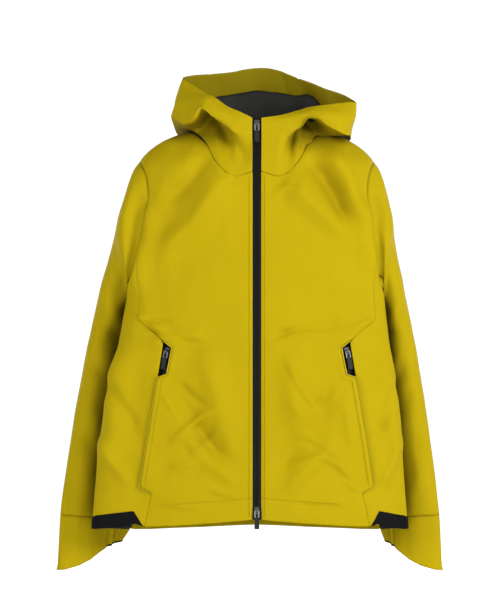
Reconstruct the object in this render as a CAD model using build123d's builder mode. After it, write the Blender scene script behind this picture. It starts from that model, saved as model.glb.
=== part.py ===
from build123d import *
from math import copysign, cos, pi, radians, sin
import os

# Hooded hardshell jacket, hanging empty and zipped closed. Millimetres.
# +Z is up, the front faces -Y and +X is the wearer's left. The origin is the centre of the
# hem opening, level with the front hem.

# Cloth
FABRIC = 1.2            # three-layer fabric with its seam allowance
SEAM = 0.6              # left between neighbouring panels, so each one is its own solid
REACH = 260.0           # cutting prisms run this far through the body

# Body sections: height, half width, depth to the front, depth to the back, y of the side edge
BODY_SECTIONS = [
    (-10, 281, 65, 110, -25),
    (100, 272, 65, 108, -25),
    (200, 258, 68, 106, -22),
    (300, 243, 70, 103, -20),
    (400, 228, 75, 98, -15),
    (500, 218, 80, 90, -10),
    (600, 222, 87, 80, -5),
    (632, 213, 72, 66, -2),
    (655, 190, 54, 52, 0),
    (675, 150, 42, 42, 0),
    (692, 97, 34, 34, 0),
]
FRONT_POWER = 2.3       # the front is a little squarer than an ellipse
BACK_POWER = 1.8        # the back is a little rounder
GIRTH_POINTS = 24
BODY_ROWS = 30
SIDE_SEAM_TURN = 0.005  # radians left open along the side seam
OVER_NECK = 710.0       # above the neck seam
SKIN_TOLERANCE = 0.5

# Hem, neck and armhole
HEM_SIDE = -8.0
HEM_BACK = -7.0
HEM_BAND_TOP = 17.0
NECK_TOP = 690.0
NECK_HALF_WIDTH = 95.0
NECK_FRONT_DROP = 90.0
NECK_BACK_DROP = 18.0
ARMHOLE = [(214, 640), (199, 612), (194, 576), (194, 545), (200, 490), (212, 430), (236, 396)]
FAR = 320.0             # beyond the widest point of the body
YOKE_SEAM = 520.0

# Front seams on the wearer's left, as (x, z); the right side is the mirror image
CHEST_SEAM = [(164, 315), (210, 352), (206, 474)]
WINDOW_INNER = [(175, 250), (158, 256), (149, 303), (164, 315)]
FLAP_FOOT = [(186, -10), (186, 48), (205, 58)]
BACK_SEAM = [(226, -10), (196, 430)]
BAND_NOSE = [(190, HEM_SIDE), (209, 31)]                   # the hem band's slanting front end
BAND_TAIL = [(228, HEM_SIDE), (227, HEM_BAND_TOP)]         # its back end
FLANK_EDGE = [(227, HEM_SIDE), (197, 429)]                 # the flank's seam with the back

# Main zip: its tape lies just behind the front panels
ZIP_FACE = -88.2        # y of the tape's outer face
ZIP_GAP = 8.0           # from the centre line to the folded edge of each front panel
TAPE_TOP = 706.0
TAPE_BOTTOM = 1.0
TAPE_REACH = 14.0       # from the centre line to the sewn edge of each tape
TAPE_THICK = 1.0
COIL_TOP = 702.0
COIL_BOTTOM = 11.0
COIL_GAP = 0.6          # from the centre line to each coil, room for the slider's post
COIL_WIDTH = 2.6
COIL_THICK = 2.2
COIL_ROUND = 0.7
STOP_HEIGHT = 2.5
PIN_LENGTH = 9.0

# Sliders and pulls, the same on the main zip and on the pocket zips
SLIDER_LENGTH = 13.0
NOSE_HALF_WIDTH = 4.5
TAIL_HALF_WIDTH = 3.4
SHOULDER = 1.0          # where the plates begin to taper, above the slider's middle
PLATE = 1.4
PLATE_CORNER = 1.0
SLIDER_CLEAR = 0.4
POST_THICK = 0.8
POST_LENGTH = 4.0
CROWN_WIDTH = 3.0
CROWN_LENGTH = 7.0
PIVOT_HEIGHT = 4.2      # of the ring's bar above the tape
PIVOT_HOLE = 1.4
CROWN_WALL = 0.8
RING_WIDTH = 9.0
RING_LENGTH = 13.0
RING_BAR = 1.6
RING_WALL = 2.2
TAB_WIDTH = 8.4
TAB_NECK_WIDTH = 3.8
TAB_NECK_TOP = -8.2
TAB_SHOULDER = -13.0
TAB_FOOT = -32.0
TAB_THICK = 4.0
TAB_CORNER = 1.5
TUNNEL_TOP = -9.6
TUNNEL_FOOT = -12.6
TUNNEL_DEPTH = 2.4
TOP_SLIDER_Z = 696.0
BOTTOM_SLIDER_Z = 17.0

# Pocket zips: a straight run below each window, set back behind the flap
POCKET_TOP = (155.6, -68.6, 316.0)
POCKET_BOTTOM = (199.5, -65.0, 65.0)
POCKET_YAW = 12.4       # degrees that the zip faces outward
POCKET_TAPE_REACH = 9.0
POCKET_SLIDER_DROP = 20.0
BAG_FACE = 54.0         # how far the bag lies in front of the side seams' plane
BAG_OUTLINE = [(182, 322), (206, 52), (92, 52), (78, 120), (92, 322)]
BAG_CORNER = 12.0

# Sleeve sections: outer point, inner point, half depth across the sleeve
SLEEVE_SECTIONS = [
    ((176, -12, 638), (180, -12, 408), 38),
    ((217, -10, 620), (206, -10, 402), 42),
    ((241, 0, 552), (224, 0, 392), 46),
    ((262, 18, 468), (230, 18, 376), 52),
    ((282, 36, 387), (229, 38, 346), 56),
    ((303, 44, 290), (234, 52, 268), 58),
    ((320, 46, 180), (238, 62, 168), 55),
    ((335, 44, 90), (226, 82, 82), 46),
    ((349, 42, 0), (190, 104, -6), 33),
    ((353, 42, -100), (204, 100, -104), 29),
]
SLEEVE_SEAM_TURN = 0.4  # degrees left open along each sleeve seam
SLEEVE_FAR = 380.0
CUFF_SEAM = -12.0
CUFF_EDGE = [(380, -92), (326, -90), (296, -75), (270, -54), (240, -42), (150, -42)]
CUFF_TURN = 181.0       # the cuff's closing seam, leaving 2 degrees open
ELASTIC_TOP = -20.0
ELASTIC_SPAN = 62.0     # degrees each way from the inner edge of the sleeve
ELASTIC_INSET = 2.0

# Collar and hood: each ring is y and z of its centre, half width, half depth and tilt
COLLAR_RINGS = [(-24, 590, 93, 66, 0), (-24, 645, 92, 66, -4), (-24, 692, 92, 66, -9)]
HOOD_SEAM_RING = (-24, 696, 94.5, 68.5, 0)
HOOD_BELLY_RING = (60, 672, 190, 155, -9)
HOOD_RIM_RING = (14, 748, 158, 115, 22.5)
HOOD_ROWS = 8
COLLAR_FRONT_TURN = -89.5
COLLAR_BACK_TURN = 89.8
HOOD_FRONT_TURN = -80.0
CROWN_TURN = 67.0       # degrees round from the left side to the crown seam
FACING_SHARE = 0.84     # the facing starts at this share of the way up the hood
LINING_CLEAR = 2.0
FACING_CLEAR = 4.0
LINING_FRONT_TURN = -70.0

# Wind flap behind the zip, and the hang loop inside the back of the neck
WIND_FLAP_FACE = 80.0
WIND_FLAP_WIDTH = 34.0
WIND_FLAP_FOOT = 6.0
WIND_FLAP_TOP = 690.0
LOOP_Z = 672.0
LOOP_BACK = 35.0        # y of the webbing's rear edge
LOOP_WEBBING = 8.0
LOOP_RADIUS = 12.0
LOOP_THICK = 1.5


def body_at(height):
    """Half width, front depth, back depth and side y of the body at one height."""
    for low, high in zip(BODY_SECTIONS, BODY_SECTIONS[1:]):
        if height <= high[0]:
            share = (height - low[0]) / (high[0] - low[0])
            return [a + share * (b - a) for a, b in zip(low[1:], high[1:])]
    return BODY_SECTIONS[-1][1:]


def body_skin(side):
    """The outer surface of the front (side = -1) or back (side = 1) half of the body."""
    power = FRONT_POWER if side < 0 else BACK_POWER
    bottom = BODY_SECTIONS[0][0]
    top = BODY_SECTIONS[-1][0]
    rows = []
    for row in range(BODY_ROWS + 1):
        height = bottom + (top - bottom) * row / BODY_ROWS
        half_width, front, back, side_y = body_at(height)
        depth = front if side < 0 else back
        points = []
        for step in range(GIRTH_POINTS + 1):
            turn = SIDE_SEAM_TURN + (pi - 2 * SIDE_SEAM_TURN) * step / GIRTH_POINTS
            x = half_width * copysign(abs(cos(turn)) ** (2 / power), cos(turn))
            y = side_y + side * depth * sin(turn) ** (2 / power)
            points.append((x, y, height))
        rows.append(points)
    return Face.make_surface_from_array_of_points(rows, tol=SKIN_TOLERANCE)


def mix(one, other, share):
    """The value, or the list of values, part of the way from one to the other."""
    if isinstance(one, (tuple, list)):
        return tuple(mix(a, b, share) for a, b in zip(one, other))
    return one + (other - one) * share


def sleeve_skin(sections, first, last, inset=0.0):
    """A sleeve's surface between two turns round it, in degrees from its outer edge."""
    rows = []
    for outer, inner, half_depth in sections:
        across = (Vector(*outer) - Vector(*inner)) / 2
        centre = (Vector(*outer) + Vector(*inner)) / 2
        along = across.cross(Vector(0, 1, 0))
        deep = along.cross(across).normalized() * (half_depth - inset)
        across = across.normalized() * (across.length - inset)
        turns = [radians(mix(first, last, step / GIRTH_POINTS)) for step in range(GIRTH_POINTS + 1)]
        rows.append([centre + across * cos(turn) + deep * sin(turn) for turn in turns])
    return Face.make_surface_from_array_of_points(rows, tol=SKIN_TOLERANCE)


def ring_skin(rings, first, last, inset=0.0):
    """A collar or hood surface between two turns, in degrees from the left side to the back."""
    rows = []
    for y, z, half_width, half_depth, tilt in rings:
        turns = [radians(mix(first, last, step / GIRTH_POINTS)) for step in range(GIRTH_POINTS + 1)]
        reach = half_depth - inset
        rows.append([
            (
                (half_width - inset) * cos(turn),
                y + reach * sin(turn) * cos(radians(tilt)),
                z + reach * sin(turn) * sin(radians(tilt)),
            )
            for turn in turns
        ])
    return Face.make_surface_from_array_of_points(rows, tol=SKIN_TOLERANCE)


def hood_rings(start=0.0):
    """Rings from the neck seam over the belly of the hood to its rim."""
    rings = []
    for row in range(HOOD_ROWS + 1):
        share = mix(start, 1.0, row / HOOD_ROWS)
        low = mix(HOOD_SEAM_RING, HOOD_BELLY_RING, share)
        high = mix(HOOD_BELLY_RING, HOOD_RIM_RING, share)
        rings.append(mix(low, high, share))
    return rings


def wall(skin, inward, thickness=FABRIC):
    """Cloth of one thickness on the side of a surface that the vector points to."""
    with BuildPart() as cloth:
        thicken(skin, amount=thickness, normal_override=inward)
    return cloth.part


def keep(piece, label):
    """Label a finished piece and write its file."""
    piece.label = label
    export_step(piece, f"parts/{label}.step")


def keep_pair(piece, label):
    """Write a piece of the wearer's left side and its mirror image on the right."""
    with BuildPart() as twin:
        mirror(piece, about=Plane.YZ)
    keep(piece, f"{label}_left")
    keep(twin.part, f"{label}_right")


def prism(points, grow=0.0):
    """A prism from a closed (x, z) outline, right through the body from front to back."""
    with BuildPart() as space:
        with BuildSketch(Plane.XZ):
            with BuildLine():
                Polyline(*points, close=True)
            make_face()
            if grow:
                offset(amount=grow, kind=Kind.INTERSECTION)
        extrude(amount=REACH, both=True)
    return space.part


def neck_hole(drop, margin=0.0):
    """A half-oval prism for the neck line, that much below the top of the neck."""
    with BuildPart() as space:
        with BuildSketch(Plane.XZ):
            with Locations((0, NECK_TOP)):
                Ellipse(NECK_HALF_WIDTH - margin, drop - margin)
        extrude(amount=REACH, both=True)
    return space.part


os.makedirs("parts", exist_ok=True)

# ---------------------------------------------------------------- body walls
with BuildPart() as arm_space:
    with BuildSketch(Plane.XZ):
        with BuildLine():
            armhole_line = Spline(*ARMHOLE)
            Polyline(
                armhole_line @ 1,
                (FAR, ARMHOLE[-1][1]),
                (FAR, ARMHOLE[0][1]),
                armhole_line @ 0,
            )
        make_face()
    extrude(amount=REACH, both=True)
    mirror(about=Plane.YZ)

front_cloth = wall(body_skin(-1), (0, 1, 0))
back_cloth = wall(body_skin(1), (0, -1, 0))
with BuildPart() as front_wall:
    add(front_cloth)
    add(arm_space, mode=Mode.SUBTRACT)
with BuildPart() as back_wall:
    add(back_cloth)
    add(arm_space, mode=Mode.SUBTRACT)

# ---------------------------------------------------------------- panel outlines, as (x, z)
FRONT_OUTLINE = [
    (ZIP_GAP, 0),
    *FLAP_FOOT,
    *WINDOW_INNER,
    *CHEST_SEAM[1:],
    (FAR, CHEST_SEAM[-1][1]),
    (FAR, OVER_NECK),
    (ZIP_GAP, OVER_NECK),
]
BACK_HALF = [(0, HEM_BACK), *BACK_SEAM, (FAR, BACK_SEAM[-1][1]), (FAR, OVER_NECK), (0, OVER_NECK)]
BACK_OUTLINE = BACK_HALF + [(-x, z) for x, z in reversed(BACK_HALF)][1:-1]
YOKE_OUTLINE = [(-FAR, YOKE_SEAM), (FAR, YOKE_SEAM), (FAR, OVER_NECK), (-FAR, OVER_NECK)]
BAND_FRONT = [*BAND_NOSE, (FAR, HEM_BAND_TOP), (FAR, HEM_SIDE)]
BAND_BACK = [*BAND_TAIL, *BAND_FRONT[2:]]
FLANK_OUTLINE = [*FLANK_EDGE, (FAR, FLANK_EDGE[-1][1]), (FAR, HEM_SIDE)]

# The side panel stops at a straight line across the window, which leaves the pocket's mouth open
SIDE_EDGE = [point for point in FRONT_OUTLINE[1:-1] if point not in WINDOW_INNER[1:-1]]
SIDE_HOLE = [(-FAR, -FAR), (FLAP_FOOT[0][0], -FAR), *SIDE_EDGE, (-FAR, OVER_NECK)]

neck_front = neck_hole(NECK_FRONT_DROP)
neck_back = neck_hole(NECK_BACK_DROP)
front_space = prism(FRONT_OUTLINE)
front_space_grown = prism(SIDE_HOLE, SEAM)
back_space = prism(BACK_OUTLINE)
flank_space = prism(FLANK_OUTLINE)
yoke_space = prism(YOKE_OUTLINE)
yoke_space_grown = prism(YOKE_OUTLINE, SEAM)
band_front_space = prism(BAND_FRONT)
band_back_space = prism(BAND_BACK)
band_front_grown = prism(BAND_FRONT, SEAM)
band_back_grown = prism(BAND_BACK, SEAM)

# ---------------------------------------------------------------- body panels
with BuildPart() as front_panel:
    add(front_wall)
    add(front_space, mode=Mode.INTERSECT)
    add(neck_front, mode=Mode.SUBTRACT)
    add(band_front_grown, mode=Mode.SUBTRACT)
keep_pair(front_panel.part, "front_panel")

with BuildPart() as hem_band:
    add(front_wall)
    add(band_front_space, mode=Mode.INTERSECT)
with BuildPart() as hem_band_rear:
    add(back_wall)
    add(band_back_space, mode=Mode.INTERSECT)
with BuildPart() as hem_band_whole:
    add(hem_band)
    add(hem_band_rear)
keep_pair(hem_band_whole.part, "hem_band")

with BuildPart() as side_panel:
    add(front_wall)
    add(front_space_grown, mode=Mode.SUBTRACT)
    add(band_front_grown, mode=Mode.SUBTRACT)
keep_pair(side_panel.part, "side_panel")

with BuildPart() as flank_panel:
    add(back_wall)
    add(flank_space, mode=Mode.INTERSECT)
    add(band_back_grown, mode=Mode.SUBTRACT)
keep_pair(flank_panel.part, "flank_panel")

with BuildPart() as back_panel:
    add(back_wall)
    add(back_space, mode=Mode.INTERSECT)
    add(yoke_space_grown, mode=Mode.SUBTRACT)
keep(back_panel.part, "back_panel")

with BuildPart() as back_yoke:
    add(back_wall)
    add(yoke_space, mode=Mode.INTERSECT)
    add(neck_back, mode=Mode.SUBTRACT)
keep(back_yoke.part, "back_yoke")

# ---------------------------------------------------------------- sleeves
with BuildPart() as sleeve_space:
    with BuildSketch(Plane.XZ):
        with BuildLine():
            sleeve_line = Spline(*[(x + SEAM, z - SEAM) for x, z in ARMHOLE])
            Polyline(
                sleeve_line @ 1,
                (ARMHOLE[-1][0], CUFF_SEAM),
                (SLEEVE_FAR, CUFF_SEAM),
                (SLEEVE_FAR, ARMHOLE[0][1]),
                sleeve_line @ 0,
            )
        make_face()
    extrude(amount=REACH, both=True)

outer_cloth = wall(sleeve_skin(SLEEVE_SECTIONS, -90 + SLEEVE_SEAM_TURN, 90 - SLEEVE_SEAM_TURN), (-1, 0, 0))
inner_cloth = wall(sleeve_skin(SLEEVE_SECTIONS, 90 + SLEEVE_SEAM_TURN, 270 - SLEEVE_SEAM_TURN), (1, 0, 0))
with BuildPart() as sleeve_upper:
    add(outer_cloth)
    add(sleeve_space, mode=Mode.INTERSECT)
keep_pair(sleeve_upper.part, "sleeve_upper")
with BuildPart() as sleeve_under:
    add(inner_cloth)
    add(sleeve_space, mode=Mode.INTERSECT)
keep_pair(sleeve_under.part, "sleeve_under")

# ---------------------------------------------------------------- cuffs
wrist_share = (SEAM - CUFF_SEAM) / -SLEEVE_SECTIONS[-1][0][2]
wrist = mix(SLEEVE_SECTIONS[-2], SLEEVE_SECTIONS[-1], wrist_share)
cuff_cloth = wall(sleeve_skin([wrist, SLEEVE_SECTIONS[-1]], CUFF_TURN - 360, 360 - CUFF_TURN), (0, 1, 0))
elastic_cloth = wall(
    sleeve_skin([wrist, SLEEVE_SECTIONS[-1]], 180 - ELASTIC_SPAN, 180 + ELASTIC_SPAN, ELASTIC_INSET),
    (1, 0, 0),
)
with BuildPart() as cuff_space:
    with BuildSketch(Plane.XZ):
        with BuildLine():
            cuff_line = Spline(*CUFF_EDGE)
            Polyline(cuff_line @ 1, (CUFF_EDGE[-1][0], 0), (CUFF_EDGE[0][0], 0), cuff_line @ 0)
        make_face()
    extrude(amount=REACH, both=True)
with BuildPart() as cuff:
    add(cuff_cloth)
    add(cuff_space, mode=Mode.INTERSECT)
keep_pair(cuff.part, "cuff")
with BuildPart() as cuff_elastic:
    add(elastic_cloth)
    add(cuff_space, mode=Mode.INTERSECT)
    split(bisect_by=Plane.XY.offset(ELASTIC_TOP), keep=Keep.BOTTOM)
keep_pair(cuff_elastic.part, "cuff_elastic")

# ---------------------------------------------------------------- collar and hood
with BuildPart() as zip_slot:
    with BuildSketch(Plane.XZ):
        with Locations((0, NECK_TOP / 2)):
            Rectangle(2 * ZIP_GAP, 2 * NECK_TOP)
    extrude(amount=REACH)
with BuildPart() as front_half:
    with BuildSketch(Plane.XZ):
        Rectangle(2 * FAR, 2 * OVER_NECK)
    extrude(amount=REACH)
collar_front = neck_hole(NECK_FRONT_DROP, SEAM)
collar_back = neck_hole(NECK_BACK_DROP, SEAM)
with BuildPart() as collar_space:
    add(collar_front)
    add(front_half, mode=Mode.INTERSECT)
    add(collar_back)

collar_cloth = wall(ring_skin(COLLAR_RINGS, COLLAR_FRONT_TURN, COLLAR_BACK_TURN), (0, 1, 0))
with BuildPart() as collar:
    add(collar_cloth)
    add(collar_space, mode=Mode.INTERSECT)
    add(zip_slot, mode=Mode.SUBTRACT)
keep_pair(collar.part, "collar")

lining_cloth = wall(
    ring_skin(COLLAR_RINGS[1:], LINING_FRONT_TURN, 180 - LINING_FRONT_TURN, FABRIC + LINING_CLEAR),
    (0, 1, 0),
)
keep(lining_cloth, "neck_lining")

hood_cloth = wall(ring_skin(hood_rings(), HOOD_FRONT_TURN, CROWN_TURN), (-1, 0, 0))
with BuildPart() as hood_side:
    add(hood_cloth)
    add(zip_slot, mode=Mode.SUBTRACT)
keep_pair(hood_side.part, "hood_side")
keep(wall(ring_skin(hood_rings(), CROWN_TURN + SEAM, 180 - CROWN_TURN - SEAM), (0, -1, 0)), "hood_crown")
keep(
    wall(
        ring_skin(
            hood_rings(FACING_SHARE),
            LINING_FRONT_TURN,
            180 - LINING_FRONT_TURN,
            FABRIC + FACING_CLEAR,
        ),
        (0, 1, 0),
    ),
    "hood_facing",
)

# ---------------------------------------------------------------- sliders and pulls
def side_of(plane):
    """The plane across a zip: its x runs up the zip and its y stands off the tape."""
    return Plane(origin=plane.origin, x_dir=plane.y_dir, z_dir=plane.x_dir)


def make_slider(plane, nose):
    """Two plates joined by a post, with a crown for the ring. nose is 1 up the zip, -1 down it."""
    under = -(TAPE_THICK + COIL_THICK + SLIDER_CLEAR)
    half = SLIDER_LENGTH / 2
    with BuildPart() as slider:
        with BuildSketch(plane.offset(SLIDER_CLEAR), plane.offset(under - PLATE)):
            with BuildLine():
                Polyline(
                    (NOSE_HALF_WIDTH, nose * half),
                    (NOSE_HALF_WIDTH, nose * SHOULDER),
                    (TAIL_HALF_WIDTH, -nose * half),
                    (-TAIL_HALF_WIDTH, -nose * half),
                    (-NOSE_HALF_WIDTH, nose * SHOULDER),
                    (-NOSE_HALF_WIDTH, nose * half),
                    close=True,
                )
            make_face()
        extrude(amount=PLATE)
        fillet(slider.edges().filter_by(Axis(plane.origin, plane.z_dir)), PLATE_CORNER)
        with BuildSketch(plane.offset(under)):
            with Locations((0, nose * (half - POST_LENGTH / 2))):
                Rectangle(POST_THICK, POST_LENGTH)
        extrude(amount=SLIDER_CLEAR - under)
        with BuildSketch(side_of(plane)):
            with Locations((0, PIVOT_HEIGHT)):
                SlotOverall(CROWN_LENGTH, 2 * (PIVOT_HOLE + CROWN_WALL))
            with Locations((0, (SLIDER_CLEAR + PLATE + PIVOT_HEIGHT) / 2)):
                Rectangle(CROWN_LENGTH, PIVOT_HEIGHT - SLIDER_CLEAR - PLATE)
            with Locations((0, PIVOT_HEIGHT)):
                Circle(PIVOT_HOLE, mode=Mode.SUBTRACT)
        extrude(amount=CROWN_WIDTH / 2, both=True)
    return slider.part


def make_ring(plane):
    """A flat wire ring through the crown."""
    with BuildPart() as ring:
        with BuildSketch(plane.offset(PIVOT_HEIGHT)):
            with Locations((0, (RING_BAR - RING_LENGTH) / 2)):
                RectangleRounded(RING_WIDTH, RING_LENGTH, RING_WALL)
            with Locations((0, (RING_WALL - RING_LENGTH) / 2)):
                RectangleRounded(
                    RING_WIDTH - 2 * RING_WALL,
                    RING_LENGTH - RING_BAR - RING_WALL,
                    RING_BAR / 2,
                    mode=Mode.SUBTRACT,
                )
        extrude(amount=RING_BAR / 2, both=True)
    return ring.part


def make_tab(plane):
    """A moulded tab that hooks round the ring's lower bar and flares below it."""
    with BuildPart() as tab:
        with BuildSketch(plane.offset(PIVOT_HEIGHT)):
            with Locations((0, (TAB_NECK_TOP + TAB_SHOULDER) / 2)):
                Rectangle(TAB_NECK_WIDTH, TAB_NECK_TOP - TAB_SHOULDER)
            with Locations((0, (TAB_SHOULDER + TAB_FOOT) / 2)):
                RectangleRounded(TAB_WIDTH, TAB_SHOULDER - TAB_FOOT, TAB_CORNER)
        extrude(amount=TAB_THICK / 2, both=True)
        with BuildSketch(side_of(plane)):
            with Locations(((TUNNEL_TOP + TUNNEL_FOOT) / 2, PIVOT_HEIGHT)):
                Rectangle(TUNNEL_TOP - TUNNEL_FOOT, TUNNEL_DEPTH)
        extrude(amount=TAB_WIDTH, both=True, mode=Mode.SUBTRACT)
    return tab.part


def zip_plane(height):
    """The main zip's plane, centred at one height."""
    return Plane(origin=(0, ZIP_FACE, height), x_dir=(1, 0, 0), z_dir=(0, -1, 0))


def pocket_plane(drop):
    """The left pocket zip's plane, at a distance down from its top end."""
    top = Vector(*POCKET_TOP)
    rise = (top - Vector(*POCKET_BOTTOM)).normalized()
    outward = Vector(sin(radians(POCKET_YAW)), -cos(radians(POCKET_YAW)), 0)
    across = rise.cross(outward).normalized()
    return Plane(origin=top - rise * drop, x_dir=across, z_dir=across.cross(rise))


for place, height, nose in [("top", TOP_SLIDER_Z, 1), ("bottom", BOTTOM_SLIDER_Z, -1)]:
    keep(make_slider(zip_plane(height), nose), f"zip_slider_{place}")
    keep(make_ring(zip_plane(height)), f"pull_ring_{place}")
    keep(make_tab(zip_plane(height)), f"pull_tab_{place}")
keep_pair(make_slider(pocket_plane(POCKET_SLIDER_DROP), 1), "pocket_slider")
keep_pair(make_ring(pocket_plane(POCKET_SLIDER_DROP)), "pocket_pull_ring")
keep_pair(make_tab(pocket_plane(POCKET_SLIDER_DROP)), "pocket_pull_tab")

# ---------------------------------------------------------------- main zip
def strip(plane, inner, outer, length, thickness):
    """A strip beside a zip's centre line, centred on the plane and standing behind it."""
    with BuildPart() as piece:
        with BuildSketch(plane):
            with Locations(((inner + outer) / 2, 0)):
                Rectangle(outer - inner, length)
        extrude(amount=-thickness)
    return piece.part


def coil(plane, length):
    """One side of the coil, behind the tape, rounded along its two free edges."""
    bar = strip(plane.offset(-TAPE_THICK), COIL_GAP, COIL_GAP + COIL_WIDTH, length, COIL_THICK)
    with BuildPart() as piece:
        add(bar)
        back_face = piece.faces().sort_by(Axis(plane.origin, plane.z_dir))[0]
        fillet(back_face.edges().filter_by(Axis(plane.origin, plane.y_dir)), COIL_ROUND)
    return piece.part


tape_middle = (TAPE_TOP + TAPE_BOTTOM) / 2
coil_middle = (COIL_TOP + COIL_BOTTOM) / 2
keep_pair(strip(zip_plane(tape_middle), COIL_GAP, TAPE_REACH, TAPE_TOP - TAPE_BOTTOM, TAPE_THICK), "zip_tape")
keep_pair(coil(zip_plane(coil_middle), COIL_TOP - COIL_BOTTOM), "zip_coil")


def zip_ends(height, length):
    """A pair of small blocks in line with the coil."""
    plane = zip_plane(height).offset(-TAPE_THICK)
    block = strip(plane, COIL_GAP, COIL_GAP + COIL_WIDTH, length, COIL_THICK)
    with BuildPart() as pair:
        add(block)
        mirror(about=Plane.YZ)
    return pair.part


keep(zip_ends(TAPE_TOP - STOP_HEIGHT, STOP_HEIGHT), "zip_top_stops")
keep(zip_ends(TAPE_BOTTOM + PIN_LENGTH / 2, PIN_LENGTH), "zip_insertion_pins")

with BuildPart() as wind_flap:
    with BuildSketch(Plane.XZ.offset(WIND_FLAP_FACE)):
        with Locations((0, (WIND_FLAP_FOOT + WIND_FLAP_TOP) / 2)):
            Rectangle(WIND_FLAP_WIDTH, WIND_FLAP_TOP - WIND_FLAP_FOOT)
    extrude(amount=-FABRIC)
keep(wind_flap.part, "wind_flap")

# ---------------------------------------------------------------- hand pockets
pocket_length = (Vector(*POCKET_TOP) - Vector(*POCKET_BOTTOM)).length
pocket_middle = pocket_plane(pocket_length / 2)


def both_sides(piece, plane):
    """A piece of a pocket zip and its twin across the zip's own centre line."""
    with BuildPart() as pair:
        add(piece)
        mirror(about=Plane(origin=plane.origin, x_dir=plane.y_dir, z_dir=plane.x_dir))
    return pair.part


pocket_tape = strip(pocket_middle, COIL_GAP, POCKET_TAPE_REACH, pocket_length, TAPE_THICK)
keep_pair(both_sides(pocket_tape, pocket_middle), "pocket_tape")
keep_pair(both_sides(coil(pocket_middle, pocket_length), pocket_middle), "pocket_coil")

with BuildPart() as pocket_bag:
    with BuildSketch(Plane.XZ.offset(BAG_FACE)) as bag_sketch:
        with BuildLine():
            Polyline(*BAG_OUTLINE, close=True)
        make_face()
        fillet(bag_sketch.vertices(), BAG_CORNER)
    extrude(amount=-FABRIC)
keep_pair(pocket_bag.part, "pocket_bag")

# ---------------------------------------------------------------- hang loop
with BuildPart() as hang_loop:
    with BuildSketch(Plane.XZ.offset(-LOOP_BACK)):
        with Locations((0, LOOP_Z)):
            Circle(LOOP_RADIUS + LOOP_THICK)
            Circle(LOOP_RADIUS, mode=Mode.SUBTRACT)
    extrude(amount=LOOP_WEBBING)
keep(hang_loop.part, "hang_loop")
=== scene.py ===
import math

import bpy
import numpy as np
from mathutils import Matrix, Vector, geometry, noise


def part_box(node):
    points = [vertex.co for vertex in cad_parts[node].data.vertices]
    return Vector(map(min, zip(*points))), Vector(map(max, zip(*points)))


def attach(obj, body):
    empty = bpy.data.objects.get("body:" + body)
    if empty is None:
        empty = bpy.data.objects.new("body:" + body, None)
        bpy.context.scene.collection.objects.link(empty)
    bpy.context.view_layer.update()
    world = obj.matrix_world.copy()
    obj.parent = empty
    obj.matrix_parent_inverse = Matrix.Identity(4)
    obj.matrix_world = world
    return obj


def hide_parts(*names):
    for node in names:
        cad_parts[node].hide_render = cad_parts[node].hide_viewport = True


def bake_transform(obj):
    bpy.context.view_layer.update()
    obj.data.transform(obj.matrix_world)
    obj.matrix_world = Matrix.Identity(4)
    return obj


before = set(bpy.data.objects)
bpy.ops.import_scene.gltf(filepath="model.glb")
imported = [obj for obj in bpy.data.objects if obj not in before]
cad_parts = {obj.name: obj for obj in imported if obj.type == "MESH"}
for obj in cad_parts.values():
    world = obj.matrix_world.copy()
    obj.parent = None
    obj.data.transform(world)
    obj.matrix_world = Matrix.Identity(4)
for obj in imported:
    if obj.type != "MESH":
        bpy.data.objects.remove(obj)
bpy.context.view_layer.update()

# The jacket hangs empty and zipped. Metres, +Z up, front facing -Y, +X the wearer's left.
ROOT = "jacket_body"
SIDES = (("left", 1), ("right", -1))   # the wearer's side and the sign of its x
CLOTH = 0.0009            # fabric thickness shown
SEAM_ROLL = 0.0005        # how far a panel's edge turns in at a seam
SEAM_WIDTH = 0.0026       # how wide that turned edge is
LEVEL = np.array([1, 1, 0])   # takes the height out of a vector

# Body form: height, half width, depth to the front, depth to the back, y of the side edge
BODY_FORM = np.array([
    (-0.04, 0.283, 0.065, 0.11, -0.025),
    (-0.012, 0.281, 0.065, 0.11, -0.025),
    (0.1, 0.272, 0.065, 0.108, -0.025),
    (0.2, 0.258, 0.068, 0.106, -0.022),
    (0.3, 0.243, 0.07, 0.103, -0.02),
    (0.4, 0.228, 0.075, 0.098, -0.015),
    (0.5, 0.218, 0.08, 0.09, -0.01),
    (0.6, 0.222, 0.086, 0.08, -0.005),
    (0.632, 0.213, 0.086, 0.066, -0.002),
    (0.655, 0.193, 0.068, 0.052, 0.0),
    (0.672, 0.168, 0.052, 0.045, 0.0),
    (0.684, 0.142, 0.043, 0.04, 0.0),
    (0.695, 0.1, 0.036, 0.036, 0.0),
])
POWER = {-1: 2.3, 1: 1.8}  # how square the outline is, front (-1) and back (1)
AT_SIDE = 0.985           # an outline point this far out lies on the side seam
ACROSS = 0.29             # metres of cloth from the centre line to the side, about
ARMHOLE = np.array([(0.214, 0.64), (0.199, 0.612), (0.194, 0.576), (0.194, 0.545), (0.2, 0.49),
                    (0.212, 0.43), (0.236, 0.396)])


# ---------------- small tools
def lerp(a, b, t):
    return a + (b - a) * t


def smooth(t):
    t = np.clip(t, 0, 1)
    return t * t * (3 - 2 * t)


def unit(v):
    return v / np.maximum(np.linalg.norm(v, axis=-1, keepdims=True), 1e-9)


def hermite(p, q, slope_p, slope_q, span, t):
    """A point of the smooth curve from p to q, t of the way along."""
    h = [2 * t ** 3 - 3 * t ** 2 + 1, t ** 3 - 2 * t ** 2 + t, 3 * t ** 2 - 2 * t ** 3, t ** 3 - t ** 2]
    return h[0] * p + h[1] * span * slope_p + h[2] * q + h[3] * span * slope_q


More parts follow.
